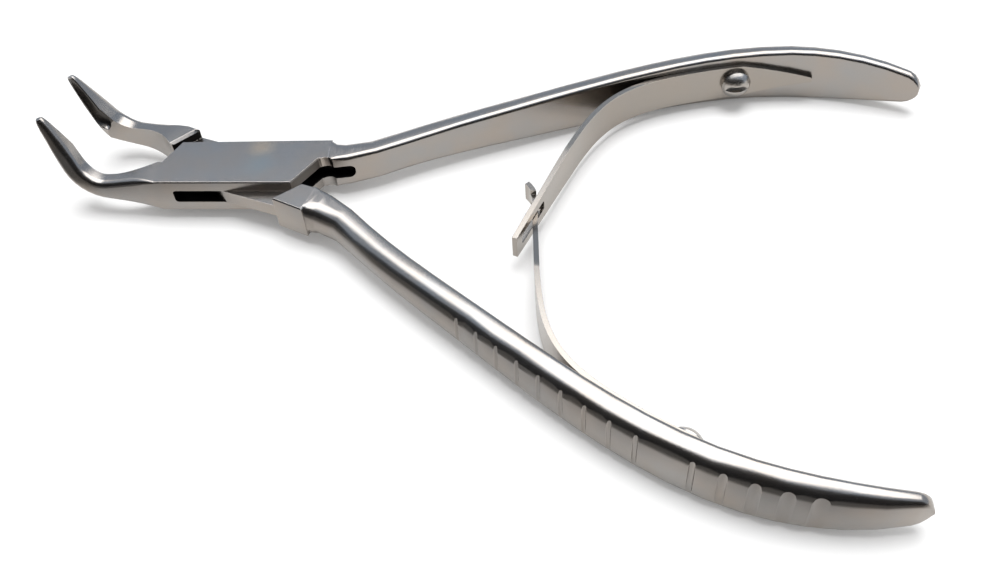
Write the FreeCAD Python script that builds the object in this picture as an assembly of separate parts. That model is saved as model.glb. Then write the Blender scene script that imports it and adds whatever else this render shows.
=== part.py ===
import FreeCAD, Part
import math
import os

# Bone rongeur, double-spring pattern, 5.5 inch size. Millimetres.
# X runs along the instrument: the jaws are at -X, the handles at +X. Z is the pivot axis.
# The origin lies on the pivot axis, on the underside of the box lock.
# Each lever is drawn closed, with its own handle on the +Y side and its jaw on the -Y side,
# and is then turned about the pivot to the sprung-open rest position.

half_opening = 9.5          # degrees that each lever stands open from the middle line

# Box lock
box_half_height = 3.05
slot_half_height = 1.2      # the slot that the other lever passes through
waist_clearance = 0.05      # each side of the waist, in the slot
front_shoulder_gap = 0.15   # between the shoulders of the two levers when closed
rear_shoulder_gap = 0.55
mating_clearance = 0.05     # from the middle plane to each jaw's inner face
box_side_front = 4.7        # half breadth of the box at the jaw end
box_near_front = 4.85       # the slotted cheek there
box_side_rear = 5.35        # half breadth at the handle end
box_near_rear = 4.6         # the slotted cheek tapers to this
box_front = 12.5            # pivot to the front end of the box
box_rear = 14.5             # pivot to the rear end of the box
inner_block_rear = 14.9     # pivot to the rear end of the other lever's block
inner_block_side = 5.9      # its outer side there
inner_block_flare = 0.1     # how much that side opens outward for each millimetre
front_diagonal_run = 2.3    # how far the front end slants back across the box
rear_diagonal_run = 3.5
rear_diagonal_start = 9.4
notch_radius = 1.5
notch_x = 14.1
notch_y = -0.3
window_front = 10.0         # pivot to the front end of the window in the near cheek
window_slant = 1.5          # how far the window's front end lies behind the mating face
window_corner = 0.6
window_reach = 2.0          # the slot's tool leaves the block this far ahead of it
slit_end = 18.4             # the slot runs out into the handle's inner face
slit_depth_y = 2.4
slit_corner = 1.0
far_slot_end = 9.6
edge_break = 0.18           # small bevel round the flat cheeks
# Waist of the inner lever, drawn as two hollow sides: start, middle and end of each
waist_low = ((-4.0, -4.7), (4.6, -2.9), (12.6, 0.8))
waist_high = ((0.0, 5.05), (-6.3, 2.9), (-13.0, -0.35))

# Pivot pin
pin_radius = 2.0
pin_running_clearance = 0.04

# Jaw: straight shank, bend up, straight cupped tip
jaw_root = 2.6              # the shank's root reaches this far in between the cheeks
jaw_root_inset = 0.12       # how much smaller it is there
jaw_root_round = 0.32
jaw_level = 0.35            # height of the shank's centre line over the middle of the box
jaw_shank_length = 8.5
jaw_bend_radius = 5.5
jaw_bend_angle = 70.0
jaw_tip_length = 8.95
# share of the jaw's length, half depth, outer side, shift down of the centre line
jaw_sections = (
    (0.00, 3.05, 4.85, 0.35),
    (0.12, 2.81, 4.64, 0.14),
    (0.24, 2.31, 4.47, 0.10),
    (0.35, 1.92, 4.38, 0.07),
    (0.48, 1.65, 4.12, 0.05),
    (0.60, 1.57, 3.54, 0.05),
    (0.72, 1.47, 2.83, 0.05),
    (0.84, 1.23, 2.03, 0.05),
    (0.94, 0.93, 1.36, 0.05),
    (0.985, 0.66, 0.96, 0.04),
    (1.00, 0.40, 0.64, 0.03),
)
jaw_outer_round = 1.05
jaw_inner_round = 0.15
jaw_round_run_out = 3.5     # from the box to where the outer rounding is full
relief_radius = 10.7        # hollow behind the cups, cut across the inner faces
relief_x = -19.4
relief_depth = 2.2
cup_rim = 0.33
cup_length = 10.4
cup_tip_margin = 0.55

# Handle: its inner face follows a bow
handle_start_x = 15.3
handle_start_y = 0.8
handle_length = 94.5
handle_rise = 24.25
# the bow's form, as shares of the handle's length and rise
bow_form = (
    (0.0, 0.0),
    (0.0343, 0.025),
    (0.1059, 0.149),
    (0.3217, 0.508),
    (0.5345, 0.817),
    (0.7745, 1.0),
    (0.9389, 0.903),
    (1.0, 0.8178),
)
handle_root_half_width = 3.05
handle_neck_half_width = 2.92
handle_half_width = 4.89
handle_end_length = 21.2    # from the widest place to the tip
handle_end_half_width = 2.45
handle_tip_round = 2.2
# share of the handle's length, thickness square to its inner face
handle_thickness_form = (
    (0.0, 4.5),
    (0.035, 4.15),
    (0.08, 3.92),
    (0.2, 3.8),
    (0.38, 3.55),
    (0.6, 3.5),
    (0.8, 3.3),
    (0.9, 2.9),
    (0.96, 2.35),
    (1.0, 1.7),
)
inner_root_flare = 0.55     # how much thicker the inner lever's handle leaves its block
inner_root_flare_length = 3.5
corner_steps = 4            # flats in each rounded corner of the handles and jaws
handle_outer_round = 2.2
handle_inner_round = 0.75
run_out_start = 14.6        # where the handle's rounding begins, behind the square box
run_out_length = 3.0
handle_root_inset = 0.5     # how much thinner the handle is at its start, inside the block

# Flutes across the outer face of each handle
thin_flutes = 9
thin_flute_first = 34.1     # along the handle from its start
flute_pitch = 3.77
flute_width = 0.8
flute_depth = 0.3
wide_flutes = 5
wide_flute_first = 71.6
wide_flute_pitch = 3.7
wide_flute_width = 1.0
wide_flute_growth = 0.35    # each wide flute is this much wider than the one before
wide_flute_depth = 0.35

# Leaf springs
leaf_thickness = 0.8
leaf_half_width = 3.1
leaf_seat_gap = 0.08        # between the foot and the handle
leaf_foot_tip = 82.2        # along the handle from its start
leaf_departure = 60.3
foot_tip_half_width = 0.55
foot_taper_length = 11.5
leaf_crossing_x = 48.3
leaf_crossing_angle = 12.7  # degrees between each leaf and the cross line where they meet
leaf_root_pull = 15.0
leaf_crossing_pull = 22.0
slotted_reach = 7.4         # the slotted leaf goes on past the crossing
slotted_end_half_width = 2.0
leaf_taper_start = 12.0     # beside the middle line, where the leaves begin to narrow
leaf_slot_half_width = 0.92
leaf_slot_near = 2.3
leaf_slot_far = 5.6
tongue_reach = 5.0
tongue_neck_half_width = 0.72
tongue_neck_start = 3.0
tongue_head_half_width = 1.6
tongue_head_length = 1.5
tongue_hook = 1.2           # how far the head turns toward the box

# Spring screws
screw_along = 69.1          # along the handle from its start
screw_shank_radius = 1.2
screw_hole_clearance = 0.08
screw_depth = 2.4           # in the handle
screw_head_radius = 2.43
screw_head_height = 2.1
screw_head_rim = 0.7
screw_head_clearance = 0.05
screw_dome_steps = 4
screw_slot_width = 1.1
screw_slot_depth = 0.9


def vec(x, y, z=0.0):
    return FreeCAD.Vector(x, y, z)


UP = vec(0, 0, 1)
ORIGIN = vec(0, 0, 0)


def prism(points, half):
    """A plan outline made solid, from -half to +half in Z."""
    face = Part.Face(Part.makePolygon([vec(x, y, -half) for x, y in points + points[:1]]))
    return face.extrude(UP * (2 * half))


def plan_cylinder(x, y, radius, half):
    return Part.makeCylinder(radius, 2 * half, vec(x, y, -half), UP)


def rounded_section(origin, a_dir, b_dir, a0, a1, half, r0, r1):
    """Closed wire round a rectangle that runs from a0 to a1 and from -half to +half.

    The corners on the a0 side have radius r0, those on the a1 side have radius r1.
    """
    corners = (
        (a0 + r0, half - r0, r0, 180),
        (a1 - r1, half - r1, r1, 90),
        (a1 - r1, r1 - half, r1, 0),
        (a0 + r0, r0 - half, r0, -90),
    )
    ring = []
    for a, b, radius, start in corners:
        for k in range(corner_steps + 1):
            t = math.radians(start - 90.0 * k / corner_steps)
            ring.append(origin + a_dir * (a + radius * math.cos(t)) + b_dir * (b + radius * math.sin(t)))
    return Part.makePolygon(ring + ring[:1])


def skin(wires):
    """A closed solid through a close row of sections."""
    return Part.makeLoft(wires, True, True)


def spline(points):
    curve = Part.BSplineCurve()
    curve.interpolate(points)
    return curve


def height_at(curve, share):
    """Height of a curve over the given share of its run from 0 to 1."""
    share = min(max(share, 0.0), 1.0)
    low = curve.FirstParameter
    high = curve.LastParameter
    for _ in range(40):
        middle = 0.5 * (low + high)
        if curve.value(middle).x < share:
            low = middle
        else:
            high = middle
    return curve.value(low).y


# The bow of the handle's inner face.

bow = spline([vec(handle_start_x + a * handle_length, handle_start_y + b * handle_rise) for a, b in bow_form])
bow_length = bow.length()


def bow_frame(distance):
    """Point, direction along the handle and direction to its outer face, at a distance from its start."""
    inside = min(max(distance, 0.0), bow_length)
    u = bow.parameterAtDistance(inside, bow.FirstParameter)
    along = bow.tangent(u)[0]
    point = bow.value(u) + along * (distance - inside)
    return point, along, vec(-along.y, along.x)


def half_width(distance):
    """Half width of the handle: a slight neck, a long swell, and an elliptical end."""
    end_start = bow_length - handle_end_length
    if distance > end_start:
        u = (distance - end_start) / handle_end_length
        width = handle_half_width + (handle_end_half_width - handle_half_width) * u ** 2.2
        return width * tip_rounding(distance)
    neck = 0.11 * bow_length
    if distance < neck:
        return handle_root_half_width + (handle_neck_half_width - handle_root_half_width) * max(distance, 0) / neck
    u = (distance - neck) / (end_start - neck)
    ease = u * (1.52 - 0.52 * u)
    ease = ease * (1 - (1 - u) ** 6)
    return handle_neck_half_width + (handle_half_width - handle_neck_half_width) * ease


def tip_rounding(distance):
    """Share of the full section that is left where the tip rounds off."""
    v = max(distance - bow_length + handle_tip_round, 0) / handle_tip_round
    return math.sqrt(max(1 - v * v, 0.0))


thickness_curve = spline([vec(share, deep) for share, deep in handle_thickness_form])


def thickness(distance):
    """Thickness of the handle, square to its inner face."""
    return height_at(thickness_curve, distance / bow_length)


def handle_body(flare=0.0):
    root = run_out_start - handle_start_x
    end_start = bow_length - handle_end_length
    shaped = root + run_out_length
    body_steps = 16
    end_steps = 5
    stations = [-1.9, root, root + 0.4 * run_out_length]
    stations += [shaped + (end_start - shaped) * k / body_steps for k in range(body_steps + 1)]
    tip = bow_length - handle_tip_round
    stations += [end_start + (tip - end_start) * k / end_steps for k in range(1, end_steps + 1)]
    stations += [tip + handle_tip_round * u for u in (0.4, 0.7, 0.9, 0.98)]
    rings = []
    for distance in stations:
        point, along, out = bow_frame(distance)
        half = half_width(distance)
        deep = thickness(distance) + flare * math.exp(-max(distance, 0.0) / inner_root_flare_length)
        if distance < root:
            deep -= handle_root_inset
            half -= handle_root_inset
        run_out = min(max((distance - root) / run_out_length, 0.0), 1.0)
        share = 0.12 + 0.88 * math.sqrt(run_out * (2 - run_out))
        inner = min(handle_inner_round * share, 0.35 * half)
        outer = min(handle_outer_round * share, 0.85 * half, deep - inner - 0.25)
        rings.append(rounded_section(point, out, UP, 0.0, deep, half, inner, outer))
    body = skin(rings)
    cuts = []
    for k in range(thin_flutes):
        cuts.append(flute(thin_flute_first + k * flute_pitch, flute_width, flute_depth))
    for k in range(wide_flutes):
        wide = wide_flute_width + k * wide_flute_growth
        cuts.append(flute(wide_flute_first + k * wide_flute_pitch, wide, wide_flute_depth))
    point, along, out = bow_frame(screw_along)
    cuts.append(Part.makeCylinder(screw_shank_radius, screw_depth + 1.0, point - out * 1.0, out))
    return body.cut(Part.makeCompound(cuts))


def flute(distance, width, depth):
    """A round-bottomed groove across the outer face."""
    point, along, out = bow_frame(distance)
    radius = (0.25 * width * width + depth * depth) / (2 * depth)
    centre = point + out * (thickness(distance) + radius - depth)
    return plan_cylinder(centre.x, centre.y, radius, handle_half_width + 1)


# The jaw.

def jaw_frame(distance):
    """Point on the jaw's centre line, its direction, and the direction square to it in the upright plane."""
    start = vec(-box_front, 0, jaw_level)
    bend = math.radians(jaw_bend_angle)
    arc_length = jaw_bend_radius * bend
    if distance <= jaw_shank_length:
        turn = 0.0
        point = start + vec(-distance, 0, 0)
    else:
        turn = min((distance - jaw_shank_length) / jaw_bend_radius, bend)
        centre = start + vec(-jaw_shank_length, 0, jaw_bend_radius)
        point = centre + vec(-math.sin(turn), 0, -math.cos(turn)) * jaw_bend_radius
        past = max(distance - jaw_shank_length - arc_length, 0)
        point = point + vec(-math.cos(turn), 0, math.sin(turn)) * past
    along = vec(-math.cos(turn), 0, math.sin(turn))
    across = vec(math.sin(turn), 0, math.cos(turn))
    return point, along, across


jaw_length = jaw_shank_length + jaw_bend_radius * math.radians(jaw_bend_angle) + jaw_tip_length


def smooth(column):
    """A curve of one column of the jaw's table against the share of its length."""
    return spline([vec(row[0], row[column]) for row in jaw_sections])


jaw_curves = [smooth(column) for column in (1, 2, 3)]


def jaw_value(column, share):
    """Value of one column of the jaw's table: 0 half depth, 1 outer side, 2 shift down."""
    return height_at(jaw_curves[column], share)


def jaw_body():
    arc_length = jaw_bend_radius * math.radians(jaw_bend_angle)
    bend_end = jaw_shank_length + arc_length
    stations = [-jaw_root]
    stations += [jaw_shank_length * k / 5.0 for k in range(5)]
    stations += [jaw_shank_length + arc_length * k / 7.0 for k in range(7)]
    stations += [bend_end + (0.93 * jaw_length - bend_end) * k / 4.0 for k in range(5)]
    stations += [jaw_length * share for share in (0.965, 0.985, 0.996)]
    rings = []
    for distance in stations:
        share = distance / jaw_length
        point, along, across = jaw_frame(distance)
        inset = jaw_root_inset if distance < 0 else 0.0
        half = jaw_value(0, share) - inset
        outer = jaw_value(1, share) - inset
        blend = min(max(distance, 0.0) / jaw_round_run_out, 1.0)
        round_out = min(jaw_root_round + (jaw_outer_round - jaw_root_round) * blend, 0.8 * half, 0.6 * outer)
        rings.append(rounded_section(
            point - across * jaw_value(2, share), vec(0, -1, 0), across, mating_clearance, outer, half,
            min(jaw_inner_round, 0.3 * half), round_out))
    body = skin(rings)
    relief = plan_cylinder(relief_x, relief_radius - relief_depth, relief_radius, 3 * box_half_height)
    return body.cut(relief).cut(cup())


def cup():
    """The hollow of the tip: a bullet form turned about a line on the middle plane."""
    tip, along, across = jaw_frame(jaw_length)
    far = tip - along * cup_tip_margin
    near = far - along * cup_length
    shares = (0.0, 0.12, 0.35, 0.62, 0.85)
    points = []
    for share in shares[1:]:
        at = jaw_length - cup_tip_margin - cup_length * (1 - share)
        radius = jaw_value(0, at / jaw_length) - cup_rim
        points.append(near + along * (share * cup_length) + vec(0, radius, 0))
    edge = spline([near] + points + [far]).toShape()
    face = Part.Face(Part.Wire([edge, Part.LineSegment(far, near).toShape()]))
    return face.revolve(near, along, 360)


# The two levers.

def turned(shape, degrees):
    shape = shape.copy()
    shape.rotate(ORIGIN, UP, degrees)
    return shape


def bevelled(block):
    """Breaks the edges of the flat cheeks."""
    edges = []
    for edge in block.Edges:
        first, last = [v.Point for v in edge.Vertexes]
        at_front = max(first.x, last.x) < 1e-6 - box_front
        if abs(first.z - last.z) < 1e-6 and not at_front:
            edges.append(edge)
    return block.makeChamfer(edge_break, edges)


front_far_x = front_diagonal_run - box_front


def box_lever():
    outline = [
        (-box_front, -box_near_front),
        (rear_diagonal_start, -box_near_rear),
        (rear_diagonal_start + rear_diagonal_run, handle_start_y),
        (box_rear, handle_start_y),
        (box_rear, box_side_rear),
        (front_far_x, box_side_front),
        (-box_front, -mating_clearance),
    ]
    block = bevelled(prism(outline, box_half_height))
    lever = block.fuse([handle_body(), jaw_body()])
    wide = 2 * box_side_rear
    slot = prism([
        (-window_front, -wide),
        (slit_end, -wide),
        (slit_end, slit_depth_y),
        (far_slot_end, slit_depth_y),
        (far_slot_end, wide),
        (-box_front - window_reach, wide),
        (-box_front - window_reach, 0.0),
        (-box_front, 0.0),
        (-window_front, -window_slant),
    ], slot_half_height)
    window_edges = []
    slit_edges = []
    for edge in slot.Edges:
        ends = [v.Point for v in edge.Vertexes]
        if all(abs(p.x + window_front) < 1e-6 for p in ends) and ends[0].z * ends[1].z > 0:
            window_edges.append(edge)
        if all(abs(p.x - slit_end) < 1e-6 for p in ends) and abs(ends[0].z - ends[1].z) < 1e-6:
            slit_edges.append(edge)
    slot = slot.makeFillet(slit_corner, slit_edges).makeFillet(window_corner, window_edges)
    lever = lever.cut([
        slot,
        plan_cylinder(notch_x, notch_y, notch_radius, 2 * box_half_height),
        plan_cylinder(0, 0, pin_radius, 2 * box_half_height),
    ])
    return lever


def inner_lever():
    wide = 3 * box_side_rear
    cheek = bevelled(prism([
        (0, handle_start_y),
        (inner_block_rear, handle_start_y),
        (inner_block_rear, inner_block_side),
        (0, inner_block_side - inner_block_flare * inner_block_rear),
    ], box_half_height))
    front_slope = -front_diagonal_run / box_side_front
    rear_slope = -rear_diagonal_run / (box_near_rear + handle_start_y)
    rear_x = rear_diagonal_start + rear_shoulder_gap
    front_x = -box_front - front_shoulder_gap
    gap = prism([
        (front_x + front_slope * wide, wide),
        (front_x - front_slope * wide, -wide),
        (rear_x + rear_slope * (-wide - box_near_rear), -wide),
        (rear_x + rear_slope * (wide - box_near_rear), wide),
    ], 2 * box_half_height)
    handle_side = cheek.fuse(handle_body(inner_root_flare)).cut(gap)
    jaw_side = jaw_body().cut(gap)
    waist_half = slot_half_height - waist_clearance
    low = [vec(x, y) for x, y in waist_low]
    high = [vec(x, y) for x, y in waist_high]
    corner = vec(low[2].x, high[0].y)
    front = vec(high[2].x, low[0].y)
    wire = Part.Wire([
        Part.Arc(*low).toShape(),
        Part.LineSegment(low[2], corner).toShape(),
        Part.LineSegment(corner, high[0]).toShape(),
        Part.Arc(*high).toShape(),
        Part.LineSegment(high[2], front).toShape(),
        Part.LineSegment(front, low[0]).toShape(),
    ])
    waist = Part.Face(wire).extrude(UP * (2 * waist_half))
    waist.translate(UP * -waist_half)
    lever = waist.fuse([handle_side, jaw_side])
    lever = lever.cut(plan_cylinder(0, 0, pin_radius + pin_running_clearance, 2 * box_half_height))
    return lever.mirror(ORIGIN, vec(0, 1, 0))


# Springs and screws, on the open handles.

def leaf_path():
    """Points along the middle of a leaf: on the handle's inner face, then the free curve to the crossing."""
    turn = FreeCAD.Rotation(UP, half_opening)
    points = []
    steps = 5
    lift = leaf_seat_gap + 0.5 * leaf_thickness
    for k in range(steps + 1):
        distance = leaf_foot_tip + (leaf_departure - leaf_foot_tip) * k / steps
        point, along, out = bow_frame(distance)
        points.append(turn.multVec(point - out * lift))
    point, along, out = bow_frame(leaf_departure)
    start = points[-1]
    heading = turn.multVec(along) * -1
    angle = math.radians(leaf_crossing_angle)
    cross_dir = vec(-math.sin(angle), -math.cos(angle))
    crossing = vec(leaf_crossing_x, 0)
    a = start + heading * leaf_root_pull
    b = crossing - cross_dir * leaf_crossing_pull
    for k in range(1, 9):
        t = k / 8.0
        s = 1 - t
        points.append(start * (s ** 3) + a * (3 * s * s * t) + b * (3 * s * t * t) + crossing * (t ** 3))
    return points, cross_dir


def leaf(reach, hook, end_outline):
    """A leaf on the +Y handle, cut to the given outline of (y, half width) seen along X."""
    points, cross_dir = leaf_path()
    points.append(points[-1] + cross_dir * (0.5 * reach))
    points.append(points[-2] + cross_dir * reach - vec(hook, 0))
    middle = spline(points)
    sides = [[], []]
    for point in points:
        u = middle.parameter(point)
        along = middle.tangent(u)[0]
        square = vec(-along.y, along.x) * (0.5 * leaf_thickness)
        sides[0].append(point + square)
        sides[1].append(point - square)
    first = spline(sides[0]).toShape()
    second = spline(sides[1]).toShape()
    wire = Part.Wire([
        first,
        Part.LineSegment(sides[0][-1], sides[1][-1]).toShape(),
        second,
        Part.LineSegment(sides[1][0], sides[0][0]).toShape(),
    ])
    strip = Part.Face(wire).extrude(UP * (2 * leaf_half_width))
    strip.translate(UP * -leaf_half_width)
    across = [vec(0, y, w) for y, w in end_outline]
    across += [vec(0, y, -w) for y, w in reversed(end_outline)]
    blank = Part.Face(Part.makePolygon(across + across[:1])).extrude(vec(2 * handle_length, 0, 0))
    tip = points[0]
    taper = tip.x - foot_taper_length
    outline = [
        Part.LineSegment(vec(0, 0, -leaf_half_width), vec(0, 0, leaf_half_width)).toShape(),
        Part.LineSegment(vec(0, 0, leaf_half_width), vec(taper, 0, leaf_half_width)).toShape(),
        Part.LineSegment(
            vec(taper, 0, leaf_half_width),
            vec(tip.x - foot_tip_half_width, 0, foot_tip_half_width)).toShape(),
        Part.Arc(
            vec(tip.x - foot_tip_half_width, 0, foot_tip_half_width), vec(tip.x, 0, 0),
            vec(tip.x - foot_tip_half_width, 0, -foot_tip_half_width)).toShape(),
        Part.LineSegment(
            vec(tip.x - foot_tip_half_width, 0, -foot_tip_half_width),
            vec(taper, 0, -leaf_half_width)).toShape(),
        Part.LineSegment(vec(taper, 0, -leaf_half_width), vec(0, 0, -leaf_half_width)).toShape(),
    ]
    foot = Part.Face(Part.Wire(outline)).extrude(vec(0, 4 * handle_rise, 0))
    foot.translate(vec(0, -2 * handle_rise, 0))
    strip = strip.common(blank).common(foot)
    point, along, out = screw_frame()
    radius = screw_shank_radius + screw_hole_clearance
    return strip.cut(Part.makeCylinder(radius, 4 * leaf_thickness, point - out * (3 * leaf_thickness), out))


def screw_frame():
    turn = FreeCAD.Rotation(UP, half_opening)
    return [turn.multVec(v) for v in bow_frame(screw_along)]


def slotted_leaf():
    far_y = -slotted_reach * math.cos(math.radians(leaf_crossing_angle))
    wide_y = 2 * handle_rise
    shape = leaf(slotted_reach, 0.0, [
        (far_y - 1, slotted_end_half_width),
        (far_y, slotted_end_half_width),
        (leaf_taper_start, leaf_half_width),
        (wide_y, leaf_half_width),
    ])
    slot = Part.makeBox(4 * slotted_reach, leaf_slot_near + leaf_slot_far, 2 * leaf_slot_half_width)
    slot.translate(vec(leaf_crossing_x - 2 * slotted_reach, -leaf_slot_far, -leaf_slot_half_width))
    long_edges = [e for e in slot.Edges if abs(e.Vertexes[0].Point.x - e.Vertexes[1].Point.x) > 1]
    slot = slot.makeFillet(0.6 * leaf_slot_half_width, long_edges)
    return shape.cut(slot)


def tongue_leaf():
    far_y = -tongue_reach * math.cos(math.radians(leaf_crossing_angle))
    head_y = far_y + tongue_head_length
    wide_y = 2 * handle_rise
    shape = leaf(tongue_reach, tongue_hook, [
        (far_y - 1, tongue_head_half_width),
        (head_y, tongue_head_half_width),
        (head_y, tongue_neck_half_width),
        (tongue_neck_start, tongue_neck_half_width),
        (leaf_taper_start, leaf_half_width),
        (wide_y, leaf_half_width),
    ])
    return shape.mirror(ORIGIN, vec(0, 1, 0))


def spring_screw():
    """Round-head screw with a driver slot along the handle."""
    point, along, out = screw_frame()
    seat = leaf_seat_gap + leaf_thickness + screw_head_clearance
    under = point - out * seat
    shank = Part.makeCylinder(screw_shank_radius, seat + screw_depth, under, out)
    top = under - out * screw_head_height
    rise = screw_head_height - screw_head_rim
    sphere = (screw_head_radius ** 2 + rise ** 2) / (2 * rise)
    full = math.asin(screw_head_radius / sphere)
    dome = []
    for k in range(screw_dome_steps):
        angle = full * (screw_dome_steps - k) / screw_dome_steps
        dome.append(top + out * (sphere * (1 - math.cos(angle))) + along * (sphere * math.sin(angle)))
    outline = [under, under + along * screw_head_radius] + dome + [top, under]
    profile = Part.makePolygon(outline)
    head = Part.Face(profile).revolve(under, out, 360)
    long = 2.4 * screw_head_radius
    slot = Part.makeBox(long, screw_slot_width, screw_slot_depth + 1)
    slot.translate(vec(-0.5 * long, -0.5 * screw_slot_width, -screw_slot_depth))
    place = FreeCAD.Matrix(
        along.x, UP.x, -out.x, top.x,
        along.y, UP.y, -out.y, top.y,
        along.z, UP.z, -out.z, top.z,
        0, 0, 0, 1)
    slot = slot.transformGeometry(place)
    return shank.fuse(head).cut(slot)


pieces = {
    "box_lever": turned(box_lever(), half_opening),
    "inner_lever": turned(inner_lever(), -half_opening),
    "pivot_pin": plan_cylinder(0, 0, pin_radius, box_half_height),
    "slotted_spring": slotted_leaf(),
    "tongue_spring": tongue_leaf(),
    "slotted_spring_screw": spring_screw(),
    "tongue_spring_screw": spring_screw().mirror(ORIGIN, vec(0, 1, 0)),
}

os.makedirs("parts", exist_ok=True)
for name, shape in pieces.items():
    shape.translate(UP * box_half_height)
    solids = shape.Solids
    if len(solids) == 1:
        shape = solids[0]
    shape.exportStep("parts/" + name + ".step")
    box = shape.BoundBox
    print(name, "solids", len(solids), "valid", shape.isValid(), "volume", round(shape.Volume, 1),
          "x", round(box.XMin, 1), round(box.XMax, 1), "y", round(box.YMin, 1), round(box.YMax, 1),
          "z", round(box.ZMin, 2), round(box.ZMax, 2))
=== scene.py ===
# %% [markdown]
# # A bone rongeur in satin stainless steel
# The instrument is a pair of forged levers that pass through each other in a box lock. Their jaws
# turn up and end in small cups, and two leaf springs hooked into each other hold the handles open.
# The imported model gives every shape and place, so this script adds only what metal looks like:
# smooth shading, one ground edge, brushed steel, a white sheet to lie on, and light.

# %% Load the frame and keep its size
import math

import bmesh
import bpy
from mathutils import Matrix, Vector


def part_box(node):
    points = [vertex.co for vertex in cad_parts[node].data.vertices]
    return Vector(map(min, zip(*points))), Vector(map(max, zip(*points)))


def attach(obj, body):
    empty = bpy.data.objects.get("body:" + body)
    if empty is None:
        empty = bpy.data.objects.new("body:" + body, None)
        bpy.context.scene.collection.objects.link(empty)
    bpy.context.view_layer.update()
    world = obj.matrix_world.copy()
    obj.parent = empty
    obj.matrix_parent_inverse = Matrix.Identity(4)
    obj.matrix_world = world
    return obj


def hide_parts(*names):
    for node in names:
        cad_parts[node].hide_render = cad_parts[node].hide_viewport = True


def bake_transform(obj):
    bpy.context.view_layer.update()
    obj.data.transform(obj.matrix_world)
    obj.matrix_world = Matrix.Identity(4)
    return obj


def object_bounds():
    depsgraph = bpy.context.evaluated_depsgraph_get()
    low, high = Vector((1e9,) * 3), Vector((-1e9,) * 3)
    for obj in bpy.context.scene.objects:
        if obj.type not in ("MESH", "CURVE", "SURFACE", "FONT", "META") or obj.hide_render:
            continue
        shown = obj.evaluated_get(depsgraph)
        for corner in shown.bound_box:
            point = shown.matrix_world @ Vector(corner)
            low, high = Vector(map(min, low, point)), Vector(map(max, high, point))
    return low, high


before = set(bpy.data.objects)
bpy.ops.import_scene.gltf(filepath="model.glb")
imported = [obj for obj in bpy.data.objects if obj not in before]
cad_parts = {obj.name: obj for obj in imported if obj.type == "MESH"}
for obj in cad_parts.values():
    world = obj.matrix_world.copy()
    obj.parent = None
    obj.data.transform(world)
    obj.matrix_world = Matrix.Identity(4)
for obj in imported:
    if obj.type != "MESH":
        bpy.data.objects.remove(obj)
MM = 0.001
cad_low, cad_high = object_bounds()
print("frame box in mm:", [round(c / MM, 1) for c in (*cad_low, *cad_high)])

# %% [markdown]
# ## Colours, nodes and objects
# Colours are chosen as they look on a screen, and shaders work in linear light, so one function
# turns sRGB hex values to linear ones. A second one adds a node with its settings and its links,
# which keeps a whole material readable as a list of steps. A third one puts an object into the
# scene. It leaves the object at the origin, because every mesh here already holds its own place.

# %% Three small helpers


def linear(hex_colour):
    """sRGB hex to a linear RGBA tuple."""
    shares = [int(hex_colour[i:i + 2], 16) / 255 for i in (1, 3, 5)]
    return (*[c / 12.92 if c <= 0.04045 else ((c + 0.055) / 1.055) ** 2.4 for c in shares], 1.0)


def add(tree, kind, settings=None, **links):
    """One node of that kind. A link is named after its input, by number as i0 or by name as
    Normal, and holds another node's socket or a plain value."""
    node = tree.nodes.new("ShaderNode" + kind)
    for key, value in (settings or {}).items():
        setattr(node, key, value)
    for key, value in links.items():
        by_number = key[0] == "i" and key[1:].isdigit()
        socket = node.inputs[int(key[1:]) if by_number else key.replace("_", " ")]
        if isinstance(value, bpy.types.NodeSocket):
            tree.links.new(value, socket)
        else:
            socket.default_value = value
    return node


def put_in_scene(name, data):
    """A new object, at the origin, for this mesh, lamp or camera."""
    thing = bpy.data.objects.new(name, data)
    bpy.context.scene.collection.objects.link(thing)
    return thing


print("middle grey #808080 is", round(linear("#808080")[0], 3), "in linear light")

# %% [markdown]
# ## Satin stainless steel
# Surgical stainless is forged, ground and then rubbed to a satin, so that it doesn't dazzle under
# the lamp. To the eye that gives soft, slightly stretched highlights, a very fine grain, faint
# clouds where the rubbing went deeper, and bright lines along the edges where they mirror the
# softbox; those edge lines are a painted highlight. An image of brushed metal could be wrapped
# round the levers, but it would need seams. Noise on Object coordinates has none: one noise is
# squeezed into grain, a second one makes the clouds, and the Bevel node finds the edges for the
# painted highlight. Real grit lines are a few hundredths of a millimetre apart, too fine for a
# picture, so the grain is drawn about five times as coarse.

# %% A recipe for steel
CLOUD_MM = 6  # about as wide as the patch that a rubbing wheel touches
ROUGHNESS_SPREAD = 0.07  # how far the grain moves the roughness up and down
GRAIN_BUMP = 0.35
EDGE_SAMPLES = 8
# the painted edge highlight starts at the first cosine and is full at the second
HIGHLIGHT_FROM, HIGHLIGHT_FULL = 0.995, 0.9  # cosine of the angle between the face and its softened edge


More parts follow.
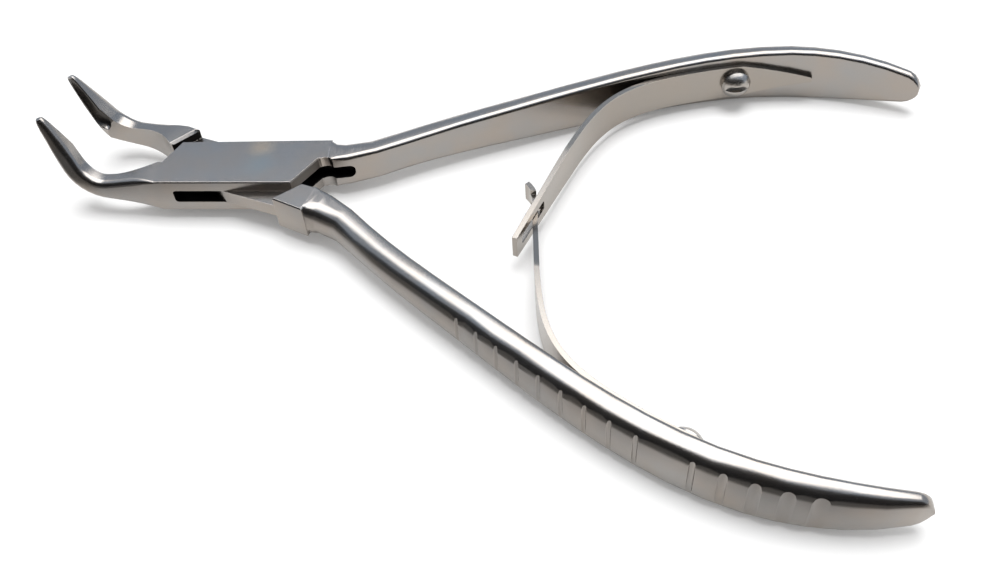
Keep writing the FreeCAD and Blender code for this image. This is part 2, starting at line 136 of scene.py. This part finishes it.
def steel(name, colour, roughness, grain_mm, grain_depth_mm, cloud, edge_mm, highlight_gain, smudges=()):
    """Brushed steel. grain_mm is the grain's size along X, Y and Z, cloud the share by which the
    colour drifts to cool and warm, edge_mm the width of a softened edge, and highlight_gain how much
    brighter a painted highlight makes that edge. A smudge has a centre and a reach in mm, and a
    tint."""
    material = bpy.data.materials.new(name)
    material.use_nodes = True
    tree = material.node_tree
    shader = tree.nodes["Principled BSDF"]
    shader.inputs["Metallic"].default_value = 1.0
    base = linear(colour)[:3]
    place = add(tree, "TexCoord").outputs["Object"]
    # Grain and clouds.
    stretch = add(tree, "Mapping", i0=place, Scale=[1 / (g * MM) for g in grain_mm])
    grain = add(tree, "TexNoise", i0=stretch.outputs[0], Scale=1.0, Detail=3.0, Roughness=0.6)
    clouds = add(tree, "TexNoise", i0=place, Scale=1 / (CLOUD_MM * MM), Detail=3.0)
    cool = [c * (1 + k * cloud) for c, k in zip(base, (-1, 0, 1))] + [1]
    warm = [c * (1 + k * cloud) for c, k in zip(base, (1, 0, -1))] + [1]
    tone = add(tree, "Mix", {"data_type": "RGBA"},
               i0=clouds.outputs[0], i6=cool, i7=warm).outputs[2]
    for centre_mm, reach_mm, tint in smudges:
        away = add(tree, "VectorMath", {"operation": "DISTANCE"},
                   i0=place, i1=[c * MM for c in centre_mm])
        near = add(tree, "MapRange", {"interpolation_type": "SMOOTHSTEP"},
                   i0=away.outputs["Value"], i1=0.0, i2=reach_mm * MM, i3=1.0, i4=0.0)
        tone = add(tree, "Mix", {"data_type": "RGBA", "blend_type": "MULTIPLY"},
                   i0=near.outputs[0], i6=tone, i7=(*tint, 1)).outputs[2]
    # Softened edges, with a painted highlight: the colour is brightened where the softened normal
    # leaves the flat one.
    soft = add(tree, "Bevel", {"samples": EDGE_SAMPLES}, Radius=edge_mm * MM).outputs[0]
    flat = add(tree, "NewGeometry").outputs["Normal"]
    bend = add(tree, "VectorMath", {"operation": "DOT_PRODUCT"}, i0=soft, i1=flat)
    highlighted = add(tree, "MapRange", i0=bend.outputs["Value"],
               i1=HIGHLIGHT_FROM, i2=HIGHLIGHT_FULL, i3=0.0, i4=1.0)
    highlight_colour = [min(c * highlight_gain, 1) for c in base] + [1]
    shine = add(tree, "Mix", {"data_type": "RGBA"}, i0=highlighted.outputs[0], i6=tone, i7=highlight_colour)
    rough = add(tree, "MapRange", i0=grain.outputs[0],
                i3=roughness - ROUGHNESS_SPREAD, i4=roughness + ROUGHNESS_SPREAD)
    bump = add(tree, "Bump", Strength=GRAIN_BUMP, Distance=grain_depth_mm * MM,
               Height=grain.outputs[0], Normal=soft)
    tree.links.new(shine.outputs[2], shader.inputs["Base Color"])
    tree.links.new(rough.outputs[0], shader.inputs["Roughness"])
    tree.links.new(bump.outputs[0], shader.inputs["Normal"])
    print(name, "made with", len(tree.nodes), "nodes")
    return material


print("an edge counts as fully worn past", round(math.degrees(math.acos(HIGHLIGHT_FULL))), "degrees")

# %% [markdown]
# ## Five steels
# One steel could dress the whole instrument, but its parts are finished by different tools, and
# some lie in shade. The levers are rubbed across their length. The leaves are rolled strip and the
# screws are turned, so both are plainer. The inside of the slot and the wall under the edge of the
# front shoulder lie in deep shade, which is painted in as nearly black steel. The cups and the heel
# of the box are ground with small stones and lie in shade, which is painted in as a darker grey
# steel than the open faces. The plate has two soft spots, one straw-coloured and one bluish, which
# are tints in the skin of the steel.

# %% Make the steels
STRAW_SPOT = ((2.6, 4.0, 6.1), 3.2, (1.45, 1.30, 1.10))
BLUISH_SPOT = ((3.6, 0.0, 6.1), 4.2, (0.93, 1.06, 1.14))
ACROSS_MM = (0.12, 0.8, 0.12)  # grain drawn out across the instrument
UPRIGHT_MM = (0.12, 0.12, 0.8)  # grain drawn out from below to above
# Forged and satin-rubbed: soft highlights, a visible grain and a strong painted highlight on the
# edges.
lever_steel = steel("satin_stainless_steel", colour="#9B958F", roughness=0.24, grain_mm=ACROSS_MM,
                    grain_depth_mm=0.022, cloud=0.10, edge_mm=0.06, highlight_gain=2.0,
                    smudges=(STRAW_SPOT, BLUISH_SPOT))
# Rolled strip: smoother and more even, with edges that are only broken.
leaf_steel = steel("spring_steel_strip", colour="#99928A", roughness=0.22, grain_mm=ACROSS_MM,
                   grain_depth_mm=0.003, cloud=0.04, edge_mm=0.05, highlight_gain=1.1)
# Turned heads: a little brighter, with no direction in the grain at this size.
screw_steel = steel("turned_screw_steel", colour="#A8A39D", roughness=0.26, grain_mm=(0.15,) * 3,
                    grain_depth_mm=0.003, cloud=0.05, edge_mm=0.08, highlight_gain=1.3)
# Painted deep shade for the slot and the shoulder's wall: nearly black and matt.
deep_shade_steel = steel("painted_deep_shade_steel", colour="#1E1C1B", roughness=0.5, grain_mm=(0.3,) * 3,
                   grain_depth_mm=0.004, cloud=0.1, edge_mm=0.05, highlight_gain=1.0)
# Painted shade for the cups and the heel, which lie in shade: a darker, duller grey.
shaded_steel = steel("painted_shade_steel", colour="#56524E", roughness=0.35, grain_mm=UPRIGHT_MM,
                     grain_depth_mm=0.004, cloud=0.1, edge_mm=0.05, highlight_gain=1.0)
LEVER_STEELS = [lever_steel, deep_shade_steel, shaded_steel]
RUBBED, SLOT, SHADED = range(3)  # the order of those three on a lever
print("steels on a lever:", ", ".join(m.name for m in LEVER_STEELS))

# %% [markdown]
# ## A smooth copy of each metal piece
# The real faces are long and smooth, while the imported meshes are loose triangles, which shade like
# a cut gem. They could be rebuilt by hand, but a copy with its doubles merged keeps the true shape
# and can be shaded smooth, with only the true edges kept sharp. A Weighted Normal modifier then
# makes the large faces shade flat.

# %% The copy
WELD = 0.0005 * MM
SHARP_DEGREES = 28


def smooth_copy(node, name, materials, mend=None):
    """A welded, smooth-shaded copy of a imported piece, which stands in for it."""
    shape = bmesh.new()
    shape.from_mesh(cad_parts[node].data)
    bmesh.ops.remove_doubles(shape, verts=shape.verts, dist=WELD)
    for face in shape.faces:
        face.material_index = 0
    if mend:
        mend(shape)
    for face in shape.faces:
        face.smooth = True
    for edge in shape.edges:
        joined = len(edge.link_faces) == 2
        edge.smooth = joined and edge.calc_face_angle(math.pi) < math.radians(SHARP_DEGREES)
    mesh = bpy.data.meshes.new(name)
    shape.to_mesh(mesh)
    shape.free()
    for material in materials:
        mesh.materials.append(material)
    piece = put_in_scene(name, mesh)
    piece.modifiers.new("even_shading", "WEIGHTED_NORMAL").keep_sharp = True
    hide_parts(node)
    print(name, "has", len(mesh.vertices), "vertices and", len(mesh.polygons), "faces")
    return piece


print("points closer than", WELD / MM, "mm are merged")
print("edges past", SHARP_DEGREES, "degrees stay sharp")

# %% [markdown]
# ## The pivot
# The pin is riveted into the lock and ground flush with both cheeks, so that nothing of it shows
# on the real plate. A pin in its hole would still draw a thin ring. So the wall of the hole is
# deleted in each copy and its two rims are filled, which leaves one unbroken face.

# %% Close the pin's hole
pin_low, pin_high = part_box("pivot_pin")
pin_reach = (pin_high.x - pin_low.x) / 2 + 0.06 * MM


def close_pin_hole(shape):
    """Deletes the upright wall round the pin and fills the rims that it leaves."""
    wall = [f for f in shape.faces if abs(f.normal.z) < 0.1
            and f.calc_center_median().xy.length < pin_reach
            and all(v.co.xy.length < pin_reach for v in f.verts)]
    bmesh.ops.delete(shape, geom=wall, context="FACES")
    rims = [e for e in shape.edges if e.is_boundary]
    bmesh.ops.holes_fill(shape, edges=rims, sides=0)
    bmesh.ops.recalc_face_normals(shape, faces=shape.faces)
    print("pin hole closed:", len(wall), "wall faces,", len(rims), "rim edges")


print("the hole is looked for within", round(pin_reach / MM, 2), "mm of the pivot")

# %% [markdown]
# ## The cups
# Each jaw ends in a spoon-shaped hollow with a cutting rim, ground with a small stone. The hollow
# lies in shade, which is painted in as a darker steel than the back of the jaw. It could be found
# by hand, face by face. Here each jaw is turned to its closed place in thought, where the cup's
# axis lies in the middle plane, and every face near that axis that looks back to the plane from
# beyond it belongs to the hollow.

# %% Darken a cup
HALF_OPENING = math.radians(9.35)  # each jaw stands open by half of the 18.7 degrees of travel
CUP_ROOT = Vector((-25.5, 0, 5.2)) * MM
CUP_AXIS = Vector((-0.342, 0, 0.940))  # the jaws turn up by 70 degrees
CUP_BEGINS, CUP_ENDS, CUP_HALF_WIDTH = 0.5 * MM, 10.6 * MM, 1.5 * MM
CUP_SKIN = 0.02 * MM  # the rim itself stays bright


def darken_cup(shape, side):
    """Gives the hollow the shaded steel. Side is +1 for the far jaw and -1 for the near one."""
    closed = Matrix.Rotation(side * HALF_OPENING, 3, "Z")
    hollow = 0
    for face in shape.faces:
        centre, facing = closed @ face.calc_center_median(), closed @ face.normal
        reach = (centre - CUP_ROOT).dot(CUP_AXIS)
        off = (centre - CUP_ROOT - CUP_AXIS * reach).xz.length
        inside = CUP_BEGINS < reach < CUP_ENDS and off < CUP_HALF_WIDTH
        if inside and side * centre.y > CUP_SKIN and side * facing.y < -0.1:
            # painted shade: the hollow gets the darker grey steel
            face.material_index = SHADED
            hollow += 1
    print("cup faces:", hollow)


print("a cup is", round((CUP_ENDS - CUP_BEGINS) / MM, 1), "mm long")

# %% [markdown]
# ## The front shoulder
# Where the far jaw leaves the lock, its lever steps back in a shoulder. The step faces the box and
# lies in its shade, so it gets the slot's dark steel. The grinder has broken its upper edge to a
# narrow bright bevel. A shader could fake that edge, but the bevel operator cuts it as true
# geometry, which catches the light from every side.

# %% Darken the shoulder and grind its edge
SHOULDER_X = (-14 * MM, -6 * MM)
SHOULDER_FOOT, SHOULDER_CREST = 4.2 * MM, 6.0 * MM
GROUND_EDGE = 0.4 * MM


def darken_shoulder(shape):
    """Finds the step's wall by where it is and where it looks, and bevels its upper edge."""
    wall = [f for f in shape.faces
            if f.normal.x > 0.6 and f.normal.y < -0.4 and abs(f.normal.z) < 0.1
            and SHOULDER_X[0] < f.calc_center_median().x < SHOULDER_X[1]
            and f.calc_center_median().z > SHOULDER_FOOT]
    # painted shade: the step's wall gets the nearly black steel
    for face in wall:
        face.material_index = SLOT
    crest = list({e for f in wall for e in f.edges
                  if all(v.co.z > SHOULDER_CREST for v in e.verts)
                  and any(g not in wall for g in e.link_faces)})
    ground = bmesh.ops.bevel(shape, geom=crest, affect="EDGES", offset=GROUND_EDGE, segments=1,
                             profile=0.5, material=-1)["faces"]
    for face in ground:
        face.material_index = RUBBED
    print("shoulder:", len(wall), "wall faces,", len(crest), "edges ground")


print("the shoulder's edge is ground", GROUND_EDGE / MM, "mm wide")

# %% [markdown]
# ## The slot and the heel of the box
# The box is the lever half that is slotted, and the waist of the other lever fills most of the
# slot. What still shows of the inside lies in deep shade, which is painted in as nearly black
# steel. Behind the box, its heel slopes back into the shade between the handles, which is painted
# in as a darker grey steel. Both are picked by height and place, because they are simple bands.

# %% Darken the slot and the heel
middle = (pin_low.z + pin_high.z) / 2
slot_half = 1.22 * MM
SLOT_FRONT, HANDLE_FROM = -11 * MM, 30 * MM
HEEL_X, HEEL_FOOT = (8 * MM, 14 * MM), 3.5 * MM


def darken_slot_and_heel(shape):
    """Faces at the slot's height are its inside, except past the handle's root."""
    counts = {SLOT: 0, SHADED: 0}
    for face in shape.faces:
        centre = face.calc_center_median()
        # painted deep shade: what shows of the slot's inside gets the nearly black steel
        if all(abs(v.co.z - middle) < slot_half for v in face.verts) and centre.x > SLOT_FRONT:
            on_handle = any(abs(v.co.z - middle) < slot_half * 0.9 and v.co.x > HANDLE_FROM
                            for v in face.verts)
            if not on_handle:
                face.material_index = SLOT
        # painted shade: the heel's faces that slope back get the darker grey steel
        looks_back = face.normal.x > 0.5 and -0.7 < face.normal.y < -0.1
        if looks_back and HEEL_X[0] < centre.x < HEEL_X[1] and centre.z > HEEL_FOOT:
            face.material_index = SHADED
        if face.material_index in counts:
            counts[face.material_index] += 1
    print("slot faces:", counts[SLOT], "and faces of cup and heel:", counts[SHADED])


print("the slot's inside reaches", round(slot_half / MM, 2), "mm up and down from height",
      round(middle / MM, 2), "mm")

# %% [markdown]
# ## Levers and screws
# The pieces are now copied and tied to an empty for each of the two bodies. The box lever also
# stands for the pin, which is one with it once it is riveted. A screw goes with the handle that
# holds it.

# %% Make the levers and the screws


def mend_box_lever(shape):
    close_pin_hole(shape)
    darken_cup(shape, -1)
    darken_slot_and_heel(shape)


def mend_inner_lever(shape):
    close_pin_hole(shape)
    darken_cup(shape, 1)
    darken_shoulder(shape)


lever = smooth_copy("box_lever", "box_lever_satin", LEVER_STEELS,
                    mend_box_lever)
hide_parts("pivot_pin")
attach(lever, "box_half")
inner = smooth_copy("inner_lever", "inner_lever_satin", LEVER_STEELS,
                    mend_inner_lever)
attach(inner, "inner_half")
upper = smooth_copy("slotted_spring_screw", "upper_screw", [screw_steel])
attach(upper, "box_half")
lower = smooth_copy("tongue_spring_screw", "lower_screw", [screw_steel])
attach(lower, "inner_half")

# %% [markdown]
# ## The leaf springs
# Each leaf is screwed to one handle and hooked into the other leaf on the middle line. When the
# handles close, both leaves bend. A row of small rigid pieces could stand for that, but a leaf is
# one strip. So it is cut across every millimetre.

# %% Springs cut across every millimetre
HALF_WIDTH_MM = 42  # the cuts reach a little past the leaves


def slice_across(shape):
    """Cuts the long faces every millimetre across the instrument."""
    for y_mm in range(-HALF_WIDTH_MM, HALF_WIDTH_MM + 1):
        whole = shape.verts[:] + shape.edges[:] + shape.faces[:]
        bmesh.ops.bisect_plane(shape, geom=whole, plane_co=(0, y_mm * MM, 0),
                               plane_no=(0, 1, 0), dist=WELD)


for node, name, own, other, side in (
    ("slotted_spring", "slotted_leaf", "box_half", "inner_half", 1),
    ("tongue_spring", "tongue_leaf", "inner_half", "box_half", -1),
):
    leaf = smooth_copy(node, name, [leaf_steel], slice_across)
    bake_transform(leaf)

# %% [markdown]
# ## White paper
# The instrument lies on a sheet of bright white paper, matt and even. Lit paper alone comes out a
# little grey, so a small glow, for the camera and for what the metal mirrors, makes it white and
# keeps the shadows. A strip of dark card in front of the instrument would draw black lines along
# the handles. It is painted into the paper with three straight edges, only for rays that come
# from a mirror-like surface, so that the picture shows the lines and not the card.

# %% Paper
PAPER_GLOW = 0.09
CARD_EDGES_MM = ((0.0, -9.5), (0.593, 0.5), (0.0, -42.5))  # slope and shift of each edge
CARD_FADE_MM = 10
CARD_DEPTH = 0.93
paper = bpy.data.materials.new("white_paper")
paper.use_nodes = True
paper_tree = paper.node_tree
paper_tree.nodes.remove(paper_tree.nodes["Principled BSDF"])
paper_rays = add(paper_tree, "LightPath")
seen = add(paper_tree, "Math", {"operation": "MAXIMUM"},
           i0=paper_rays.outputs["Is Camera Ray"], i1=paper_rays.outputs["Is Glossy Ray"])
seen = add(paper_tree, "Math", {"operation": "MAXIMUM"},
           i0=seen.outputs[0], i1=paper_rays.outputs["Is Transmission Ray"])
spot = add(paper_tree, "SeparateXYZ", i0=add(paper_tree, "TexCoord").outputs["Object"])
beyond = []  # how far a point lies in front of each edge
for slope, shift_mm in CARD_EDGES_MM:
    line = add(paper_tree, "Math", {"operation": "MULTIPLY_ADD"},
               i0=spot.outputs["X"], i1=-slope, i2=shift_mm * MM)
    beyond.append(add(paper_tree, "Math", {"operation": "SUBTRACT"},
                      i0=line.outputs[0], i1=spot.outputs["Y"]).outputs[0])
corner = add(paper_tree, "Math", {"operation": "MINIMUM"}, i0=beyond[0], i1=beyond[1])
outline = add(paper_tree, "Math", {"operation": "MAXIMUM"}, i0=corner.outputs[0], i1=beyond[2])
card = add(paper_tree, "MapRange", i0=outline.outputs[0],
           i1=0.0, i2=CARD_FADE_MM * MM, i3=0.0, i4=CARD_DEPTH)
card = add(paper_tree, "Math", {"operation": "MULTIPLY"},
           i0=card.outputs[0], i1=paper_rays.outputs["Is Glossy Ray"])
sheet = add(paper_tree, "Mix", {"data_type": "RGBA"},
            i0=card.outputs[0], i6=linear("#F2F2F2"), i7=linear("#101010"))
matt = add(paper_tree, "BsdfDiffuse", Color=sheet.outputs[2])
lift = add(paper_tree, "Math", {"operation": "MULTIPLY"}, i0=seen.outputs[0], i1=PAPER_GLOW)
glow = add(paper_tree, "Emission", Color=linear("#FFFFFF"), Strength=lift.outputs[0])
both = add(paper_tree, "AddShader", i0=matt.outputs[0], i1=glow.outputs[0])
paper_tree.links.new(both.outputs[0], paper_tree.nodes["Material Output"].inputs["Surface"])
print("white paper made with", len(paper_tree.nodes), "nodes")

# %% [markdown]
# ## Table top
# A plane would do, but its straight end could show against the sky in a low view. A large disc
# ends at the same distance on every side. It lies a hair under the lowest point of the metal.

# %% Table top
SHEET_RADIUS = 3.0
sheet_shape = bmesh.new()
bmesh.ops.create_circle(sheet_shape, cap_ends=True, segments=64, radius=SHEET_RADIUS)
bmesh.ops.translate(sheet_shape, verts=sheet_shape.verts, vec=(0, 0, cad_low.z - 0.01 * MM))
sheet_mesh = bpy.data.meshes.new("table_top")
sheet_shape.to_mesh(sheet_mesh)
sheet_shape.free()
sheet_mesh.materials.append(paper)
table_top = put_in_scene("table_top", sheet_mesh)
print("table top at height", round(sheet_mesh.vertices[0].co.z / MM, 2), "mm")

# %% [markdown]
# ## Softbox
# Polished metal has no look of its own: it shows the room. A large softbox overhead, turned a
# little, draws the white lines along the rounded edges. It lights only what mirrors it, so that
# its size can be chosen for the lines and another lamp makes the shadows.

# %% Softbox
SOFTBOX_LEVEL = 3.46  # brightness of its surface, where white paper in plain light has 1
softbox_lamp = bpy.data.lights.new("overhead_softbox", "AREA")
softbox_lamp.shape = "RECTANGLE"
softbox_lamp.size, softbox_lamp.size_y = 0.7, 0.42
softbox_lamp.energy = SOFTBOX_LEVEL * math.pi * softbox_lamp.size * softbox_lamp.size_y
softbox = put_in_scene("overhead_softbox", softbox_lamp)
softbox.location = (0.1, 0.09, 0.35)
softbox.rotation_euler.z = math.radians(20)
softbox.visible_diffuse = False
print("softbox energy:", round(softbox_lamp.energy, 2), "W")

# %% [markdown]
# ## Soft daylight
# The shadows on the paper are wide and pale, as by a bright window near by. A sun lamp with a
# very wide disc gives the same shadow everywhere on the sheet, so the paper stays even out to the
# horizon, which a nearby lamp can't do. The metal doesn't mirror it.

# %% Soft daylight
DAYLIGHT_LEVEL = 0.70  # what it adds on matt things, where plain light has 1
shadow_lamp = bpy.data.lights.new("soft_daylight", "SUN")
shadow_lamp.energy = DAYLIGHT_LEVEL * math.pi
shadow_lamp.angle = math.radians(34)
daylight = put_in_scene("soft_daylight", shadow_lamp)
daylight.rotation_euler.x = math.radians(-7)
daylight.visible_glossy = False
print("soft daylight:", round(shadow_lamp.energy, 2), "W per square metre")

# %% [markdown]
# ## Sky
# The flat tops of the instrument mirror a pale, cool room, which makes them blue-grey. An image of
# a studio could light the scene, but a plain colour is enough. Matt things get less of the sky, and
# in white, because daylight already lights them. The camera sees pure white behind everything.

# %% Sky
SKY_IN_MIRRORS, SKY_ON_MATT = 1.0, 0.58
world = bpy.data.worlds.new("studio")
bpy.context.scene.world = world
world.use_nodes = True
sky_tree = world.node_tree
sky_rays = add(sky_tree, "LightPath")
level = add(sky_tree, "Mix",
            i0=sky_rays.outputs["Is Diffuse Ray"], i2=SKY_IN_MIRRORS, i3=SKY_ON_MATT)
plain = add(sky_tree, "Math", {"operation": "MAXIMUM"},
            i0=sky_rays.outputs["Is Diffuse Ray"], i1=sky_rays.outputs["Is Camera Ray"])
hue = add(sky_tree, "Mix", {"data_type": "RGBA"},
          i0=plain.outputs[0], i6=linear("#B6C5D9"), i7=linear("#FFFFFF"))
sky = sky_tree.nodes["Background"]
sky_tree.links.new(level.outputs[0], sky.inputs["Strength"])
sky_tree.links.new(hue.outputs[2], sky.inputs["Color"])
print("sky strength", SKY_IN_MIRRORS, "in mirrors,", SKY_ON_MATT, "on matt things")

# %% [markdown]
# ## Black flag
# Photographers stand a black felt flag just out of the picture, so that metal has something dark
# to mirror. This one stands upright in front of the instrument and darkens its near faces. It is
# one flat face, set upright by a matrix, and only mirror-like rays see it.

# %% Black flag
FLAG_PLACE = (0.05, -0.125, 0.09)
FLAG_HALF_WIDTH, FLAG_FLATNESS = 0.5, 0.18  # 1 m wide and 0.18 m high
flag_shape = bmesh.new()
upright = Matrix.Translation(FLAG_PLACE) @ Matrix.Rotation(math.radians(90), 4, "X")
bmesh.ops.create_grid(flag_shape, x_segments=1, y_segments=1, size=FLAG_HALF_WIDTH,
                      matrix=upright @ Matrix.Diagonal((1, FLAG_FLATNESS, 1, 1)))
flag_mesh = bpy.data.meshes.new("black_flag")
flag_shape.to_mesh(flag_mesh)
flag_shape.free()
felt = bpy.data.materials.new("black_felt")
felt.use_nodes = True
felt_shader = felt.node_tree.nodes["Principled BSDF"]
felt_shader.inputs["Base Color"].default_value = linear("#1A1A1C")
felt_shader.inputs["Roughness"].default_value = 1.0
flag_mesh.materials.append(felt)
flag = put_in_scene("black_flag", flag_mesh)
flag.visible_camera = flag.visible_diffuse = flag.visible_shadow = False
print("flag:", 2 * FLAG_HALF_WIDTH, "m wide,", 2 * FLAG_HALF_WIDTH * FLAG_FLATNESS, "m high")

# %% [markdown]
# ## Camera
# The picture is taken from the front and a little to the right, looking down by about 49 degrees,
# with a slight roll. Those three angles were fitted to the instrument's own edges. They could be
# typed in as Euler angles, but built from the direction of sight they are easier to read.

# %% Camera
AZIMUTH, ELEVATION, ROLL = (math.radians(a) for a in (16.852, 49.390, -4.747))
CAMERA_PLACE = Vector((74.076, -110.602, 120.467)) * MM
lens = bpy.data.cameras.new("camera")
lens.sensor_width = 36.0
lens.lens = 38.40
lens.shift_x, lens.shift_y = 0.00765, -0.00068
lens.clip_start, lens.clip_end = 0.005, 20.0
camera = put_in_scene("camera", lens)
sight = Vector((
    -math.sin(AZIMUTH) * math.cos(ELEVATION),
    math.cos(AZIMUTH) * math.cos(ELEVATION),
    -math.sin(ELEVATION)))
beside = sight.cross(Vector((0, 0, 1))).normalized()
above = beside.cross(sight)
right = beside * math.cos(ROLL) + above * math.sin(ROLL)
top = above * math.cos(ROLL) - beside * math.sin(ROLL)
turn = Matrix((right, top, -sight)).transposed()
camera.matrix_world = Matrix.Translation(CAMERA_PLACE) @ turn.to_4x4()
bpy.context.scene.camera = camera
bpy.context.scene.view_settings.view_transform = "Standard"
print("camera", round(CAMERA_PLACE.length / MM), "mm from the pivot")
